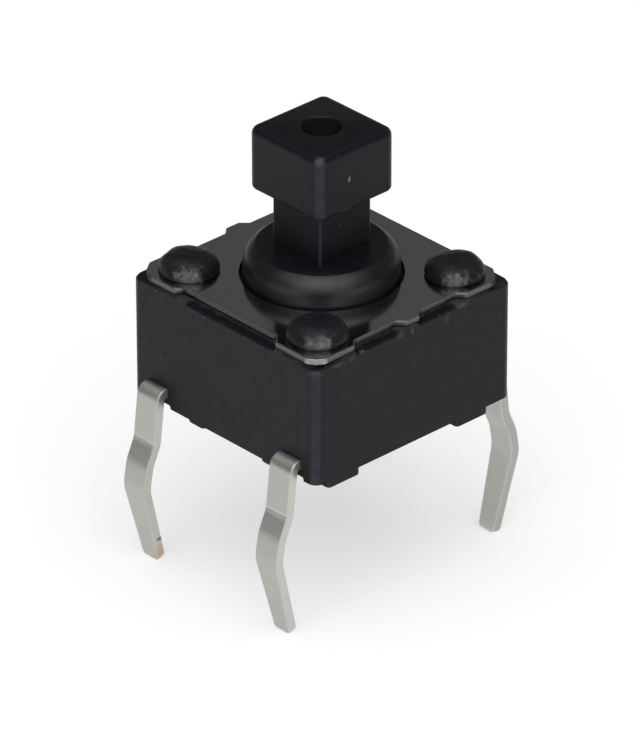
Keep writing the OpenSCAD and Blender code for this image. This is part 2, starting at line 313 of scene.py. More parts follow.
class Finish:
    """A material, and short ways to write its nodes."""

    def __init__(self, name):
        self.material = bpy.data.materials.new(name)
        self.material.use_nodes = True
        self.tree = self.material.node_tree
        self.shader = self.tree.nodes["Principled BSDF"]
        place = self.tree.nodes.new("ShaderNodeTexCoord").outputs["Object"]
        # Object coordinates in millimetres
        self.place = self.vector("SCALE", place, Scale=1 / MM)
        self.normal = self.tree.nodes.new("ShaderNodeNewGeometry").outputs["Normal"]

    def put(self, socket, value):
        """Gives a socket a value, or a link if the value is a socket too."""
        if isinstance(value, bpy.types.NodeSocket):
            self.tree.links.new(value, socket)
        else:
            socket.default_value = value

    def set(self, **values):
        """Sets the shader's sockets; a name's underscores stand for spaces."""
        for name, value in values.items():
            self.put(self.shader.inputs[name.replace("_", " ")], value)

    def vector(self, operation, *values, **named):
        node = self.tree.nodes.new("ShaderNodeVectorMath")
        node.operation = operation
        for socket, value in zip(node.inputs, values):
            self.put(socket, value)
        for name, value in named.items():
            self.put(node.inputs[name], value)
        return node.outputs["Value" if operation == "LENGTH" else "Vector"]

    def math(self, operation, *values):
        node = self.tree.nodes.new("ShaderNodeMath")
        node.operation = operation
        for socket, value in zip(node.inputs, values):
            self.put(socket, value)
        return node.outputs[0]

    def product(self, first, *others):
        for other in others:
            first = self.math("MULTIPLY", first, other)
        return first

    def along(self, x, y, way):
        """How far the place (x, y) lies along a level direction."""
        return self.math("ADD", self.product(x, way[0]), self.product(y, way[1]))

    def split(self, vector):
        node = self.tree.nodes.new("ShaderNodeSeparateXYZ")
        self.put(node.inputs[0], vector)
        return node.outputs

    def noise(self, per_mm, detail=3, roughness=0.55, stretch=(1, 1, 1), shift=0):
        """Noise from 0 to 1 with that many features per millimetre."""
        node = self.tree.nodes.new("ShaderNodeTexNoise")
        moved = self.vector("MULTIPLY_ADD", self.place, stretch, (shift, shift, shift))
        self.put(node.inputs["Vector"], moved)
        node.inputs["Scale"].default_value = per_mm
        node.inputs["Detail"].default_value = detail
        node.inputs["Roughness"].default_value = roughness
        return node.outputs["Fac"]

    def dots(self, per_mm, size, share, shift):
        """1 in small round specks: their size in cells, and the share of cells that have one."""
        node = self.tree.nodes.new("ShaderNodeTexVoronoi")
        moved = self.vector("MULTIPLY_ADD", self.place, (1, 1, 1), (shift, shift, shift))
        self.put(node.inputs["Vector"], moved)
        node.inputs["Scale"].default_value = per_mm
        near = self.ramp(node.outputs["Distance"], (size, 1), (size * 1.6, 0))
        picked = self.math("GREATER_THAN", self.split(node.outputs["Color"])[0], 1 - share)
        return self.product(near, picked)

    def ramp(self, value, start, end):
        """Maps value linearly from start = (in, out) to end = (in, out), and no further."""
        node = self.tree.nodes.new("ShaderNodeMapRange")
        low, high = (start, end) if start[0] < end[0] else (end, start)
        self.put(node.inputs["Value"], value)
        self.put(node.inputs["From Min"], low[0])
        self.put(node.inputs["From Max"], high[0])
        self.put(node.inputs["To Min"], low[1])
        self.put(node.inputs["To Max"], high[1])
        return node.outputs["Result"]

    def mix(self, factor, first, second):
        """Mixes two colours."""
        node = self.tree.nodes.new("ShaderNodeMix")
        node.data_type = "RGBA"
        self.put(node.inputs[0], factor)
        self.put(node.inputs[6], first)
        self.put(node.inputs[7], second)
        return node.outputs[2]

    def nick(self, at, size, ragged=3.2):
        """1 within a small spot: its middle, its reach along x, y and z, and how ragged it is."""
        away = self.vector("SUBTRACT", self.place, at)
        away = self.vector("MULTIPLY", away, [1 / one for one in size])
        away = self.vector("LENGTH", away)
        torn = self.math("MULTIPLY_ADD", self.noise(27, 4, 0.75), ragged, away)
        return self.ramp(torn, (ragged / 2 + 0.3, 1), (ragged / 2 + 1, 0))

    def bump(self, height, distance):
        """Bump of a height from 0 to 1; distance is the height of 1 in millimetres."""
        node = self.tree.nodes.new("ShaderNodeBump")
        node.inputs["Strength"].default_value = 1
        node.inputs["Distance"].default_value = distance * MM
        self.put(node.inputs["Height"], height)
        self.set(Normal=node.outputs["Normal"])


def grey(level, tint=(1, 1, 1)):
    return (level * tint[0], level * tint[1], level * tint[2], 1)


# Tints, the level of the black plastic, and the colour under the tin
NEUTRAL = (1.0, 1.0, 1.03)
COOL = (0.93, 0.99, 1.27)
WARM = (1.03, 1.0, 0.94)
BLACK = 0.0075
BRASS = (0.56, 0.44, 0.3, 1)

# Level directions towards the corner at -X -Y, the side the key light falls from, and across that
KEY_LIGHT_SIDE = (-0.68, -0.73)
ACROSS = (0.73, -0.68)


def near_rim(finish):
    """1 on the top of the housing's walls, 0 below and above."""
    z = finish.split(finish.place)[2]
    below = finish.ramp(z, (RIM_Z - 0.32, 0), (RIM_Z - 0.14, 1))
    return finish.product(below, finish.ramp(z, (RIM_Z, 1), (RIM_Z + 0.02, 0)))


def corner_highlights(finish, base, painted_shading):
    """Upright corners get a painted highlight, most of all just below the rim of the housing."""
    nx, ny = finish.split(finish.normal)[:2]
    corner = finish.ramp(finish.math("ABSOLUTE", finish.product(nx, ny)), (0.1, 0), (0.42, 1))
    uneven = finish.ramp(finish.noise(4, 4, 0.65, shift=2), (0.35, 0.6), (0.7, 1))
    lit_corner = finish.product(corner, uneven)
    base = finish.mix(lit_corner, base, grey(BLACK + painted_shading, COOL))
    ragged = finish.ramp(finish.noise(7, 4, 0.7, shift=31), (0.4, 0), (0.6, 1))
    patches = finish.product(lit_corner, near_rim(finish), ragged)
    return finish.mix(patches, base, grey(BLACK + 2.5 * painted_shading))


def dirt_and_rim_light(finish, base, painted_shading, coarse):
    """Handling leaves streaks, crumbs along the rim and dust; the top edge of the walls shows wear
    and painted light.
    """
    streaks = finish.noise(1.6, 5, 0.7, stretch=(3, 3, 0.5), shift=7)
    base = finish.mix(finish.ramp(streaks, (0.62, 0), (0.72, 0.4)), base, grey(BLACK * 2.6, COOL))
    z = finish.split(finish.place)[2]
    # The rounded top edge of the walls is painted lighter: wear, and painted light on an edge in
    # shade
    rubbed_lit_brink = finish.ramp(finish.math("MULTIPLY_ADD", coarse, 0.1, z), (RIM_Z, 0), (RIM_Z + 0.05, 1))
    base = finish.mix(finish.product(rubbed_lit_brink, near_rim(finish)), base, grey(BLACK + painted_shading))
    crumbs = finish.ramp(finish.noise(6, 4, 0.7, shift=21), (0.62, 0), (0.66, 0.8))
    base = finish.mix(finish.product(crumbs, near_rim(finish)), base, grey(0.045, WARM))
    # Bright specks, and smaller dim ones
    for dots, light in (((2.4, 0.045, 0.3, 3), 0.075), ((5, 0.07, 0.1, 8), 0.045)):
        base = finish.mix(finish.product(finish.dots(*dots), 0.8), base, grey(light))
    return base


def plastic(name, roughness, shine, painted_shading=0.0, lumps=0.0, nicks=(), extra=None):
    """Black moulded plastic; shine is a number, or a function of the finish."""
    finish = Finish(name)
    mottle = finish.noise(1.3, 4, 0.6)
    fine = finish.noise(38, 3, 0.6)
    coarse = finish.noise(5, 3, 0.5, shift=11)
    base = finish.mix(mottle, grey(BLACK * 0.75, COOL), grey(BLACK * 1.25, COOL))
    base = corner_highlights(finish, base, painted_shading)
    base = dirt_and_rim_light(finish, base, painted_shading, coarse)
    for at, size, light, tint in nicks:
        base = finish.mix(finish.nick(at, size), base, grey(light, tint))
    if extra:
        base = extra(finish, base)
    height = finish.math("ADD", finish.product(fine, 0.25), finish.product(coarse, 0.5))
    if lumps:
        height = finish.math("MULTIPLY_ADD", finish.noise(8, 3, 0.6, shift=5), lumps, height)
    finish.bump(height, 0.004)
    finish.set(
        Base_Color=base,
        Roughness=finish.ramp(coarse, (0.3, roughness - 0.05), (0.7, roughness + 0.07)),
        Specular_IOR_Level=shine(finish) if callable(shine) else shine,
        IOR=1.5,
    )
    return finish.material


def housing_finish():
    """The housing's plastic, chipped where the cover was pressed on over the -Y wall."""
    # Middle, reach along the axes, lightness and tint of each
    nicks = [
        ((-2.4, -HALF, 3.13), (0.2, 0.1, 0.06), 0.05, NEUTRAL),
        ((-1.98, -HALF, 3.13), (0.12, 0.1, 0.07), 0.045, NEUTRAL),
        ((-1.64, -HALF, 3.19), (0.09, 0.1, 0.06), 0.09, NEUTRAL),
        ((-0.45, -HALF, 3.17), (0.14, 0.1, 0.1), 0.045, (0.93, 1.05, 1)),
        ((-0.08, -HALF, 3.12), (0.06, 0.1, 0.1), 0.06, NEUTRAL),
        ((1.5, -HALF, 3.2), (0.2, 0.1, 0.12), 0.055, (1.08, 1.02, 0.86)),
        ((1.0, -HALF, 3.02), (0.1, 0.1, 0.2), 0.028, NEUTRAL),
    ]
    return plastic("housing_moulding", 0.42, 0.165, painted_shading=0.033, nicks=nicks)


def head_finish():
    """The plastic of the plunger's head and neck, nicked along its edges."""
    nicks = [
        ((-0.27, -HEAD_HALF, 6.36), (0.05, 0.1, 0.09), 0.24, NEUTRAL),
        ((-0.36, -HEAD_HALF, 5.6), (0.24, 0.1, 0.05), 0.09, NEUTRAL),
        ((-HEAD_HALF, -0.75, 5.6), (0.14, 0.1, 0.05), 0.05, NEUTRAL),
        ((-1.1, -1.1, 7.05), (0.15, 0.15, 0.13), 0.075, NEUTRAL),
        ((-1.13, -1.13, 6.1), (0.1, 0.1, 0.2), 0.036, NEUTRAL),
        ((1.14, -1.14, 6.95), (0.07, 0.07, 0.06), 0.09, NEUTRAL),
    ]

    def dusty_top(finish, base):
        """Dust on the top towards the back, and a lighter grey in the blind hole."""
        x, y, z = finish.split(finish.place)
        patchy = finish.noise(2, 5, 0.7, shift=13)
        back = finish.math("MULTIPLY_ADD", patchy, 2.5, finish.math("ADD", x, y))
        on_top = finish.ramp(z, (TOP_Z - 0.05, 0), (TOP_Z, 1))
        dusty = finish.product(finish.ramp(back, (1.0, 0), (2.6, 1)), on_top)
        base = finish.mix(dusty, base, grey(0.0145))
        away = finish.vector("LENGTH", finish.vector("MULTIPLY", finish.place, (1, 1, 0)))
        hole = finish.ramp(away, (HOLE_R + 0.005, 1), (HOLE_R + 0.025, 0))
        hole = finish.product(hole, finish.ramp(z, (TOP_Z - 0.06, 1), (TOP_Z - 0.02, 0)))
        return finish.mix(hole, base, grey(0.015))

    name = "plunger_head_moulding"
    return plastic(name, 0.4, 0.14, painted_shading=0.034, nicks=nicks, extra=dusty_top)


def guide_finish():
    """The plunger's round base, with a painted sheen: more shine on the key light's side."""

    def key_side_sheen(finish):
        x, y = finish.split(finish.place)[:2]
        return finish.ramp(finish.along(x, y, KEY_LIGHT_SIDE), (1.2, 0.2), (1.66, 0.7))

    return plastic("plunger_guide_moulding", 0.44, key_side_sheen)


def melted_finish():
    """Stake heads, melted down over the cover: a dull crown, torn pale low on one side, also a
    painted highlight.
    """

    # The pale patch low on the key light's side is torn skin and a painted highlight
    def torn(finish, base):
        x, y, z = finish.split(finish.place)
        # Place on a head, from the middle of its stake
        x = finish.math("MULTIPLY_ADD", finish.math("SIGN", x), -STAKE_AT, x)
        y = finish.math("MULTIPLY_ADD", finish.math("SIGN", y), -STAKE_AT, y)
        across = finish.math("ABSOLUTE", finish.along(x, y, ACROSS))
        across = finish.ramp(across, (0.1, 1), (0.42, 0))
        low = finish.ramp(z, (COVER_TOP + 0.2, 1), (COVER_TOP + 0.36, 0))
        out = finish.ramp(finish.along(x, y, KEY_LIGHT_SIDE), (0.3, 0), (0.45, 1))
        place = finish.product(across, low, out)
        ragged = finish.math("MULTIPLY_ADD", finish.noise(6, 4, 0.65, shift=17), 2.2, place)
        tone = finish.ramp(finish.noise(6, 4, 0.65, shift=23), (0.38, 0), (0.66, 1))
        pale = finish.mix(tone, grey(0.06, WARM), grey(0.2, WARM))
        return finish.mix(finish.ramp(ragged, (1.35, 0), (1.9, 1)), base, pale)

    return plastic("melted_stakes", 0.46, 0.25, lumps=2.5, extra=torn)


def cover_finish():
    """Cold-rolled sheet, nearly a mirror."""
    finish = Finish("cover_sheet")
    cloud = finish.noise(0.9, 4, 0.55)
    base = finish.mix(cloud, grey(0.44), grey(0.5))
    scratches = finish.noise(9, 4, 0.6, stretch=(1, 0.12, 1), shift=4)
    base = finish.mix(finish.ramp(scratches, (0.6, 0), (0.75, 0.5)), base, grey(0.58))
    # The rolled tops of the edges are painted darker, the bent lip of the -X recess most: a
    # painted dark reflection
    z = finish.split(finish.place)[2]
    lip = finish.ramp(z, (COVER_TOP - 0.028, 1), (COVER_TOP - 0.002, 0))
    base = finish.mix(lip, base, grey(0.17))
    rolled = finish.noise(26, 2, 0.5, stretch=(1, 0.04, 1))
    finish.bump(rolled, 0.0006)
    finish.set(
        Base_Color=base,
        Metallic=1.0,
        Roughness=finish.ramp(cloud, (0.3, 0.09), (0.7, 0.15)),
    )
    return finish.material


def cut_finish():
    """The sheet's punched edges: brighter where sheared at the top, dull where torn below."""
    finish = Finish("cover_edge")
    tear = finish.noise(11, 5, 0.65, stretch=(1, 1, 0.3))
    x, y, z = finish.split(finish.place)
    sheared = finish.math("MULTIPLY_ADD", tear, 0.08, z)
    sheared = finish.ramp(sheared, (cover_low.z + 0.03, 0), (COVER_TOP + 0.03, 1))
    base = finish.mix(sheared, grey(0.045, WARM), grey(0.17, WARM))
    # The small chamfers are painted brighter than the large ones, which reach further in: a
    # painted highlight, on the one facing the key light and on its twin at +X +Y
    small_chamfers = finish.math("GREATER_THAN", finish.product(x, y), 0)
    x, y = (finish.math("ABSOLUTE", one) for one in (x, y))
    further = LARGE_CHAMFER - SMALL_CHAMFER + COVER_HALF - FAR_HALF
    reach = 2 * COVER_HALF - SMALL_CHAMFER - further
    corner = finish.math("MULTIPLY_ADD", small_chamfers, -further, finish.math("ADD", x, y))
    corner = finish.ramp(corner, (reach - 0.1, 0), (reach - 0.02, 1))
    cut = finish.mix(small_chamfers, grey(0.05), finish.mix(tear, grey(0.2, WARM), grey(0.42, WARM)))
    base = finish.mix(corner, base, cut)
    # The cut is painted dark in the side recesses, and on the sides of the middle hole: painted
    # shade
    inside = finish.ramp(x, (COVER_HALF - 0.15, 1), (COVER_HALF - 0.1, 0))
    dark = finish.product(inside, finish.ramp(y, (RECESS_L / 2 - 0.1, 1), (RECESS_L / 2, 0)))
    base = finish.mix(dark, base, grey(0.045))
    finish.bump(tear, 0.004)
    finish.set(Base_Color=base, Metallic=1.0, Roughness=0.42)
    return finish.material


def tin_finish():
    """Satin tin: cleaner on the sheared sides, with painted light inside and painted shade at the
    bends, bare at one tip.
    """
    finish = Finish("tinned_strip")
    cloud = finish.noise(1.1, 5, 0.6)
    tin = finish.mix(cloud, grey(0.425, WARM), grey(0.52, WARM))
    stain = finish.ramp(finish.noise(2.3, 5, 0.7, shift=9), (0.62, 0), (0.78, 0.5))
    tin = finish.mix(stain, tin, grey(0.3, WARM))
    x, y, z = finish.split(finish.place)
    nx, ny = finish.split(finish.normal)[:2]
    side = finish.ramp(finish.math("ABSOLUTE", ny), (0.5, 0), (0.85, 1))
    sheared = finish.mix(finish.ramp(x, (-HALF, 0), (HALF, 1)), grey(0.58, WARM), grey(0.42, WARM))
    tin = finish.mix(side, tin, sheared)
    # The faces towards the middle are painted lighter: painted light against the floor's shadow
    # that they reflect
    facing = finish.product(nx, x)
    tin = finish.mix(finish.ramp(facing, (-2.0, 0.8), (-0.5, 0)), tin, grey(0.6, WARM))
    # The outer faces between the crease and the knee are painted darker: painted shade
    outside = finish.ramp(facing, (0.5, 0), (2.0, 1))
    ragged = finish.math("MULTIPLY_ADD", finish.noise(3, 3, 0.6), 0.12, z)
    from_knee = finish.ramp(ragged, (KNEE_Z + 0.1, 0), (CREASE_Z - 0.1, 1))
    to_crease = finish.ramp(ragged, (CREASE_Z + 0.04, 1), (CREASE_Z + 0.11, 0))
    painted_shading = finish.product(from_knee, finish.ramp(y, (-1, 0.1), (1, 0.2)), to_crease, outside)
    tin = finish.mix(painted_shading, tin, grey(0.24, (0.98, 1, 0.98)))
    # A darker line is painted at the crease, painted shade, with a lighter one above it, a painted
    # highlight
    for above, strength, tone in ((0.1, 0.35, grey(0.2)), (0.15, 0.5, grey(0.68, WARM))):
        line = finish.math("ABSOLUTE", finish.math("SUBTRACT", ragged, CREASE_Z + above))
        line = finish.product(finish.ramp(line, (0.008, strength), (0.03, 0)), outside)
        tin = finish.mix(line, tin, tone)
    # Brass shows at the tip of the -X +Y leg, under a dark spot
    tip_side = STRIP_AT - TIP_W / 2
    bare = finish.nick((-HALF - 0.19, tip_side, TIP_Z + 0.22), (0.2, 0.12, 0.36), 0.8)
    tin = finish.mix(bare, tin, BRASS)
    spot = finish.nick((-HALF - 0.22, tip_side, TIP_Z + 0.6), (0.16, 0.1, 0.07), 1.2)
    tin = finish.mix(spot, tin, grey(0.06))
    drawn = finish.noise(30, 3, 0.55, stretch=(1, 1, 0.06))
    finish.bump(finish.math("ADD", drawn, finish.noise(7, 3, 0.6)), 0.003)
    finish.set(
        Base_Color=tin,
        Metallic=1.0,
        Roughness=finish.ramp(cloud, (0.3, 0.4), (0.7, 0.5)),
    )
    return finish.material


def dome_finish():
    """Bright sprung sheet, drawn one way."""
    finish = Finish("spring_sheet")
    drawn = finish.noise(20, 3, 0.5, stretch=(1, 0.1, 1))
    finish.bump(drawn, 0.001)
    finish.set(
        Base_Color=finish.mix(drawn, grey(0.55), grey(0.65)),
        Metallic=1.0,
        Roughness=finish.ramp(drawn, (0.3, 0.18), (0.7, 0.28)),
    )
    return finish.material


# ---------------------------------------------------------------- housing


def rebates():
    """What is taken from the rim under the recesses of the cover."""
    bm = bmesh.new()
    deep = COVER_HALF - RECESS_DEPTH
    out = HALF + 0.5
    plans = [rectangle((-out, SIDE_REBATE[0]), (-deep, SIDE_REBATE[1]))]
    plans += [rectangle((low, -out), (high, -deep)) for low, high in FRONT_REBATES]
    for half_turn in (0, 180):
        for plan in plans:
            prism(turned(plan, half_turn), RIM_Z - REBATE_H, RIM_Z + 0.5, bm)
    return bm


def feet():
    bm = bmesh.new()
    for half_turn in (0, 180):
        for x in FOOT_AT:
            plan = rectangle((x - FOOT_L / 2, -HALF), (x + FOOT_L / 2, FOOT_DEPTH - HALF))
            prism(turned(rounded(plan, FOOT_R), half_turn), 0, 2 * WALL_Z, bm)
        for y in SIDE_FOOT_AT:
            low = (SIDE_FOOT_INSET - HALF, y - SIDE_FOOT_L / 2)
            plan = rectangle(low, (low[0] + FOOT_DEPTH, y + SIDE_FOOT_L / 2))
            prism(turned(rounded(plan, FOOT_R), half_turn), WALL_Z - SIDE_FOOT_H, 2 * WALL_Z, bm)
    return bm


def shanks():
    """The stakes up to their melted heads."""
    bm = bmesh.new()
    for at in rectangle((-STAKE_AT, -STAKE_AT), (STAKE_AT, STAKE_AT)):
        lathe([(STAKE_R, RIM_Z - 0.3), (STAKE_R, COVER_TOP + 0.1)], 48, at, bm)
    return bm


def leg_notches():
    bm = bmesh.new()
    along, across, high = (size / 2 for size in NOTCH)
    for x, y in rectangle((-HALF, -STRIP_AT), (HALF, STRIP_AT)):
        plan = rectangle((x - along, y - across), (x + along, y + across))
        prism(plan, WALL_Z - high, WALL_Z + high, bm)
    return bm


def make_housing():
    corner = arc((HALF - CORNER_R, HALF - CORNER_R), CORNER_R, 0, 90, 10)
    walls = [point for turn in range(0, 360, 90) for point in turned(corner, turn)]
    pocket = [(POCKET_R, FLOOR_Z), (POCKET_R, POCKET_TOP)]
    cavity = lathe([*pocket, (CAVITY_R, POCKET_TOP), (CAVITY_R, RIM_Z + 0.5)], 96)
    bm = combine(
        prism(walls, WALL_Z, RIM_Z),
        [
            ("UNION", feet()),
            ("DIFFERENCE", cavity),
            ("DIFFERENCE", rebates()),
            ("DIFFERENCE", leg_notches()),
            ("UNION", shanks()),
        ],
    )
    # The walls' lower edges stay sharp, and run into the feet
    round_edges(bm, EDGE_R, 3, lambda e: any(abs(v.co.z - WALL_Z) > 1e-4 for v in e.verts))
    for v in bm.verts:
        if v.co.z > RIM_Z - 0.05:
            short = 2 * HALF - abs(v.co.x) - abs(v.co.y)
            share = (BLUNT_FROM - short) / (BLUNT_FROM - BLUNT_TO)
            v.co.z -= BLUNT_DROP * min(max(share, 0), 1)
    piece("housing_shell", bm, [housing_finish()], BASE, "housing")


def stake_ring(number, at, share, steps=96):
    """One ring of a melted head; share runs from 0 at its foot to 1 at the middle of its crown."""
    lean = math.pi / 2 * share
    reach = math.cos(lean)
    height = STAKE_HEAD_TOP - COVER_TOP - STAKE_FOOT_H - STAKE_SPARE
    # The foot is rolled in a little, and the shoulder is fuller than a ball's
    r = STAKE_HEAD_R * reach * (1 - 0.07 * (1 - share) ** 18)
    z = COVER_TOP + STAKE_FOOT_H * min(6 * share, 1) + height * (1 - reach**3) ** 0.6
    ring = []
    for i in range(steps):
        t = 2 * math.pi * i / steps
        p = Vector((r * math.cos(t), r * math.sin(t), z))
        # Each head takes its lumps and drips from another part of the noise
        lump = noise.fractal(p * 2.2 + Vector((number * 5.3, number * 2.1, 0)), 0.9, 2.1, 4)
        drip = noise.fractal(Vector((t * 3, z * 2, number * 4.0)), 0.8, 2.2, 3)
        swell = 1 + LUMPS * lump + DRIPS * drip * reach
        top = min(z + 0.02 * lump * min(3 * share, 1), STAKE_HEAD_TOP)
        ring.append((at[0] + p.x * swell, at[1] + p.y * swell, top))
    return ring


def make_stake_heads():
    """Domed heads of the four stakes, each melted a little differently."""
    rows = 30
    bm = bmesh.new()
    for number in range(4):
        at = turned([(STAKE_AT, STAKE_AT)], 90 * number)[0]
        loft([stake_ring(number, at, row / (rows - 1)) for row in range(rows)], bm)
    piece("stake_heads", bm, [melted_finish()], BASE)


# ---------------------------------------------------------------- cover


def cover_outline():
    """Outline of the plate from the -Y edge on, with its chamfers, recesses and tabs."""
    h, d, small, large = COVER_HALF, RECESS_DEPTH, SMALL_CHAMFER, LARGE_CHAMFER
    start, end, tab = FRONT_START, RECESS_L / 2, TAB_W / 2
    front = [(small - h, -h), (start, -h), (start + d, d - h), (-tab - d, d - h), (-tab, -h)]
    front += [(tab, -h), (tab + d, d - h), (end - d, d - h), (end, -h), (h - large, -h)]
    sides = []
    for x, d in ((FAR_HALF, FAR_DEPTH), (COVER_HALF, RECESS_DEPTH)):
        # The middle of a chamfer stands out a little
        first, last = (c / 2 - CHAMFER_BULGE for c in (large, small))
        side = [(x - first, first - h), (x, large - h), (x, -end), (x - d, d - end)]
        side += [(x - d, end - d), (x, end), (x, h - small), (x - last, h - last)]
        sides.append(side)
    return front + sides[0] + turned(front, 180) + turned(sides[1], 180)


def bend_share(point):
    """1 on the straight of the -X recess, where the edge is bent down, 0 away from it."""
    x, y = point
    inner = COVER_HALF - RECESS_DEPTH
    end = RECESS_L / 2 - RECESS_DEPTH
    if abs(x + inner) > 0.02:
        return 0
    return min(max((end - abs(y)) / 0.08, 0), 1)


def inset(outline, distances):
    """Anticlockwise outline moved inwards, each point by its own distance; clockwise ones grow."""
    moved = []
    for i, (point, distance) in enumerate(zip(outline, distances)):
        along = Vector(outline[(i + 1) % len(outline)]) - Vector(outline[i - 1])
        inward = Vector((-along.y, along.x)).normalized()
        moved.append(tuple(Vector(point) + inward * distance))
    return moved


def punched_edge(outline, size, bm, bent=lambda point: 0):
    """Skin of one punched edge; returns its bottom and top rows of vertices."""
    shares = [bent(point) for point in outline]
    rolls = [size[0] + (BEND[0] - size[0]) * share for share in shares]
    drops = [size[1] + (BEND[1] - size[1]) * share for share in shares]
    rows = []

    def row(distances, heights):
        points = zip(inset(outline, distances), heights)
        rows.append([bm.verts.new((x, y, z)) for (x, y), z in points])

    row([BURR] * len(outline), [cover_low.z] * len(outline))
    row([0] * len(outline), [cover_low.z + BURR] * len(outline))
    for c, s in arc((0, 0), 1, 0, 90, 6):
        row([one * (1 - c) for one in rolls], [COVER_TOP - one * (1 - s) for one in drops])
    count = len(outline)
    for level, (low, high) in enumerate(zip(rows, rows[1:])):
        for i in range(count):
            j = (i + 1) % count
            face = bm.faces.new((low[i], low[j], high[j], high[i]))
            # The cut is dull up to most of the rounding; a bent edge keeps the sheet's skin there
            face.material_index = int(level < (2 if shares[i] > 0.5 else 6))
    return rows[0], rows[-1]


def make_cover():
    bm = bmesh.new()
    outline = []
    corners = rounded(cover_outline(), OUTLINE_R)
    for here, after in zip(corners, corners[1:] + corners[:1]):
        # Long straights are divided, so that the bend can start and end on them
        steps = 1 + int((Vector(after) - Vector(here)).length / 0.1)
        outline += [tuple(Vector(here).lerp(Vector(after), k / steps)) for k in range(steps)]
    edges = [punched_edge(outline, ROLL, bm, bend_share)]
    circles = [arc((0, 0), GUIDE_R, 360, 0, 128)]
    for at in rectangle((-STAKE_AT, -STAKE_AT), (STAKE_AT, STAKE_AT)):
        circles.append(arc(at, STAKE_R + STAKE_GAP, 360, 0, 48))
    edges += [punched_edge(circle[:-1], HOLE_ROLL, bm) for circle in circles]
    for level, normal in ((0, (0, 0, -1)), (1, (0, 0, 1))):
        loops = []
        for rows in edges:
            row = rows[level]
            loops += [bm.edges.get((a, b)) for a, b in zip(row, row[1:] + row[:1])]
        bmesh.ops.triangle_fill(bm, edges=loops, use_beauty=True, normal=normal)
    piece("cover_plate", bm, [cover_finish(), cut_finish()], BASE, "cover")


# ---------------------------------------------------------------- plunger

SIDE_STEPS, CORNER_STEPS = 16, 8


def square_ring(half, radius, z):
    """Ring of a rounded square; every ring of the plunger has as many points."""
    side = [(half, (half - radius) * (2 * i / SIDE_STEPS - 1)) for i in range(SIDE_STEPS)]
    corner = arc((half - radius, half - radius), radius, 0, 90, CORNER_STEPS)[:-1]
    return [(x, y, z) for turn in range(0, 360, 90) for x, y in turned(side + corner, turn)]


def round_ring(radius, z):
    count = 4 * (SIDE_STEPS + CORNER_STEPS)
    turns = [2 * math.pi * (i - SIDE_STEPS / 2) / count for i in range(count)]
    return [(radius * math.cos(t), radius * math.sin(t), z) for t in turns]


def quarter(radius, steps, start, end):
    """Cosine and sine, times radius, from start to end degrees."""
    return arc((0, 0), radius, start, end, steps)


def hole_rings():
    """Blind hole in the head, from its floor up, and its lip."""
    floor = TOP_Z - HOLE_DEPTH
    rings = [round_ring(HOLE_R - 0.05, floor), round_ring(HOLE_R - 0.02, floor + 0.02)]
    rings.append(round_ring(HOLE_R, TOP_Z - HOLE_LIP_R))
    for out, up in quarter(HOLE_LIP_R, 5, 180, 90)[1:]:
        rings.append(round_ring(HOLE_R + HOLE_LIP_R + out, TOP_Z - HOLE_LIP_R + up))
    return rings


def head_rings():
    """Top of the head, its upper fillet, its sides and its lower fillet."""
    rings = []
    for out, up in quarter(HEAD_TOP_R, 8, 90, 0):
        radius = max(HEAD_CORNER_R - HEAD_TOP_R + out, 0.05)
        rings.append(square_ring(HEAD_HALF - HEAD_TOP_R + out, radius, TOP_Z - HEAD_TOP_R + up))
    for out, up in quarter(HEAD_UNDER_R, 6, 0, -90):
        out -= HEAD_UNDER_R
        z = NECK_TOP + HEAD_UNDER_R + up
        rings.append(square_ring(HEAD_HALF + out, HEAD_CORNER_R + out, z))
    return rings


def neck_rings():
    """Neck, with a small fillet at each end."""
    rings = []
    for z, start in ((NECK_TOP - NECK_ROOT_R, 90), (BASE_TOP + NECK_ROOT_R, 180)):
        for out, up in quarter(NECK_ROOT_R, 4, start, start + 90):
            out += NECK_ROOT_R
            rings.append(square_ring(NECK_HALF + out, NECK_CORNER_R + out, z + up))
    return rings


def base_rings():
    """Round base: a flat top, a crease, and a shoulder that bellies out to the sides."""
    rings = [round_ring(SHOULDER_R - inside, BASE_TOP - down) for inside, down in CREASE]
    slope = math.radians(SHOULDER_SLOPE)
    belly = (BASE_R - SHOULDER_R) / (1 - math.cos(slope))
    low = BASE_TOP - SHOULDER_DROP - belly * math.sin(slope)
    for out, up in quarter(belly, 14, SHOULDER_SLOPE, 0):
        rings.append(round_ring(BASE_R - belly + out, low + up))
    rings.append(round_ring(BASE_R, FLANGE_TOP))
    return rings


def flange_rings():
    """Flange that holds the plunger in, and the boss that presses the dome."""
    edge = FLANGE_EDGE_R
    rings = []
    for z, start in ((FLANGE_TOP - edge, 90), (FLANGE_LOW + edge, 0)):
        for out, up in quarter(edge, 3, start, start - 90):
            rings.append(round_ring(FLANGE_R - edge + out, z + up))
    rings.append(round_ring(BOSS_R, FLANGE_LOW))
    for out, up in quarter(edge, 3, 0, -90):
        rings.append(round_ring(BOSS_R - edge + out, BOSS_Z + edge + up))
    return rings


def make_plunger():
    bm = loft([*hole_rings(), *head_rings(), *neck_rings(), *base_rings(), *flange_rings()])
    for face in bm.faces:
        face.material_index = int(max(v.co.z for v in face.verts) < BASE_TOP + 1e-4)
    finishes = [head_finish(), guide_finish()]
    piece("plunger_stem", bm, finishes, PLUNGER, "plunger")


# ---------------------------------------------------------------- terminals

# Middle line of a leg, as (x, z, bend radius), from the middle of the switch out and down
LEG_LINE = [
    (0, STRIP_Z + STRIP_T / 2, 0),
    (HALF + 0.19, STRIP_Z + STRIP_T / 2, 0.2),
    (HALF + 0.33, CREASE_Z, 0.8),
    (HALF + 0.57, -1.22, 0.9),
    (HALF + 0.672, KNEE_Z, 0.8),
    (HALF + 0.15, TIP_Z, 0),
]


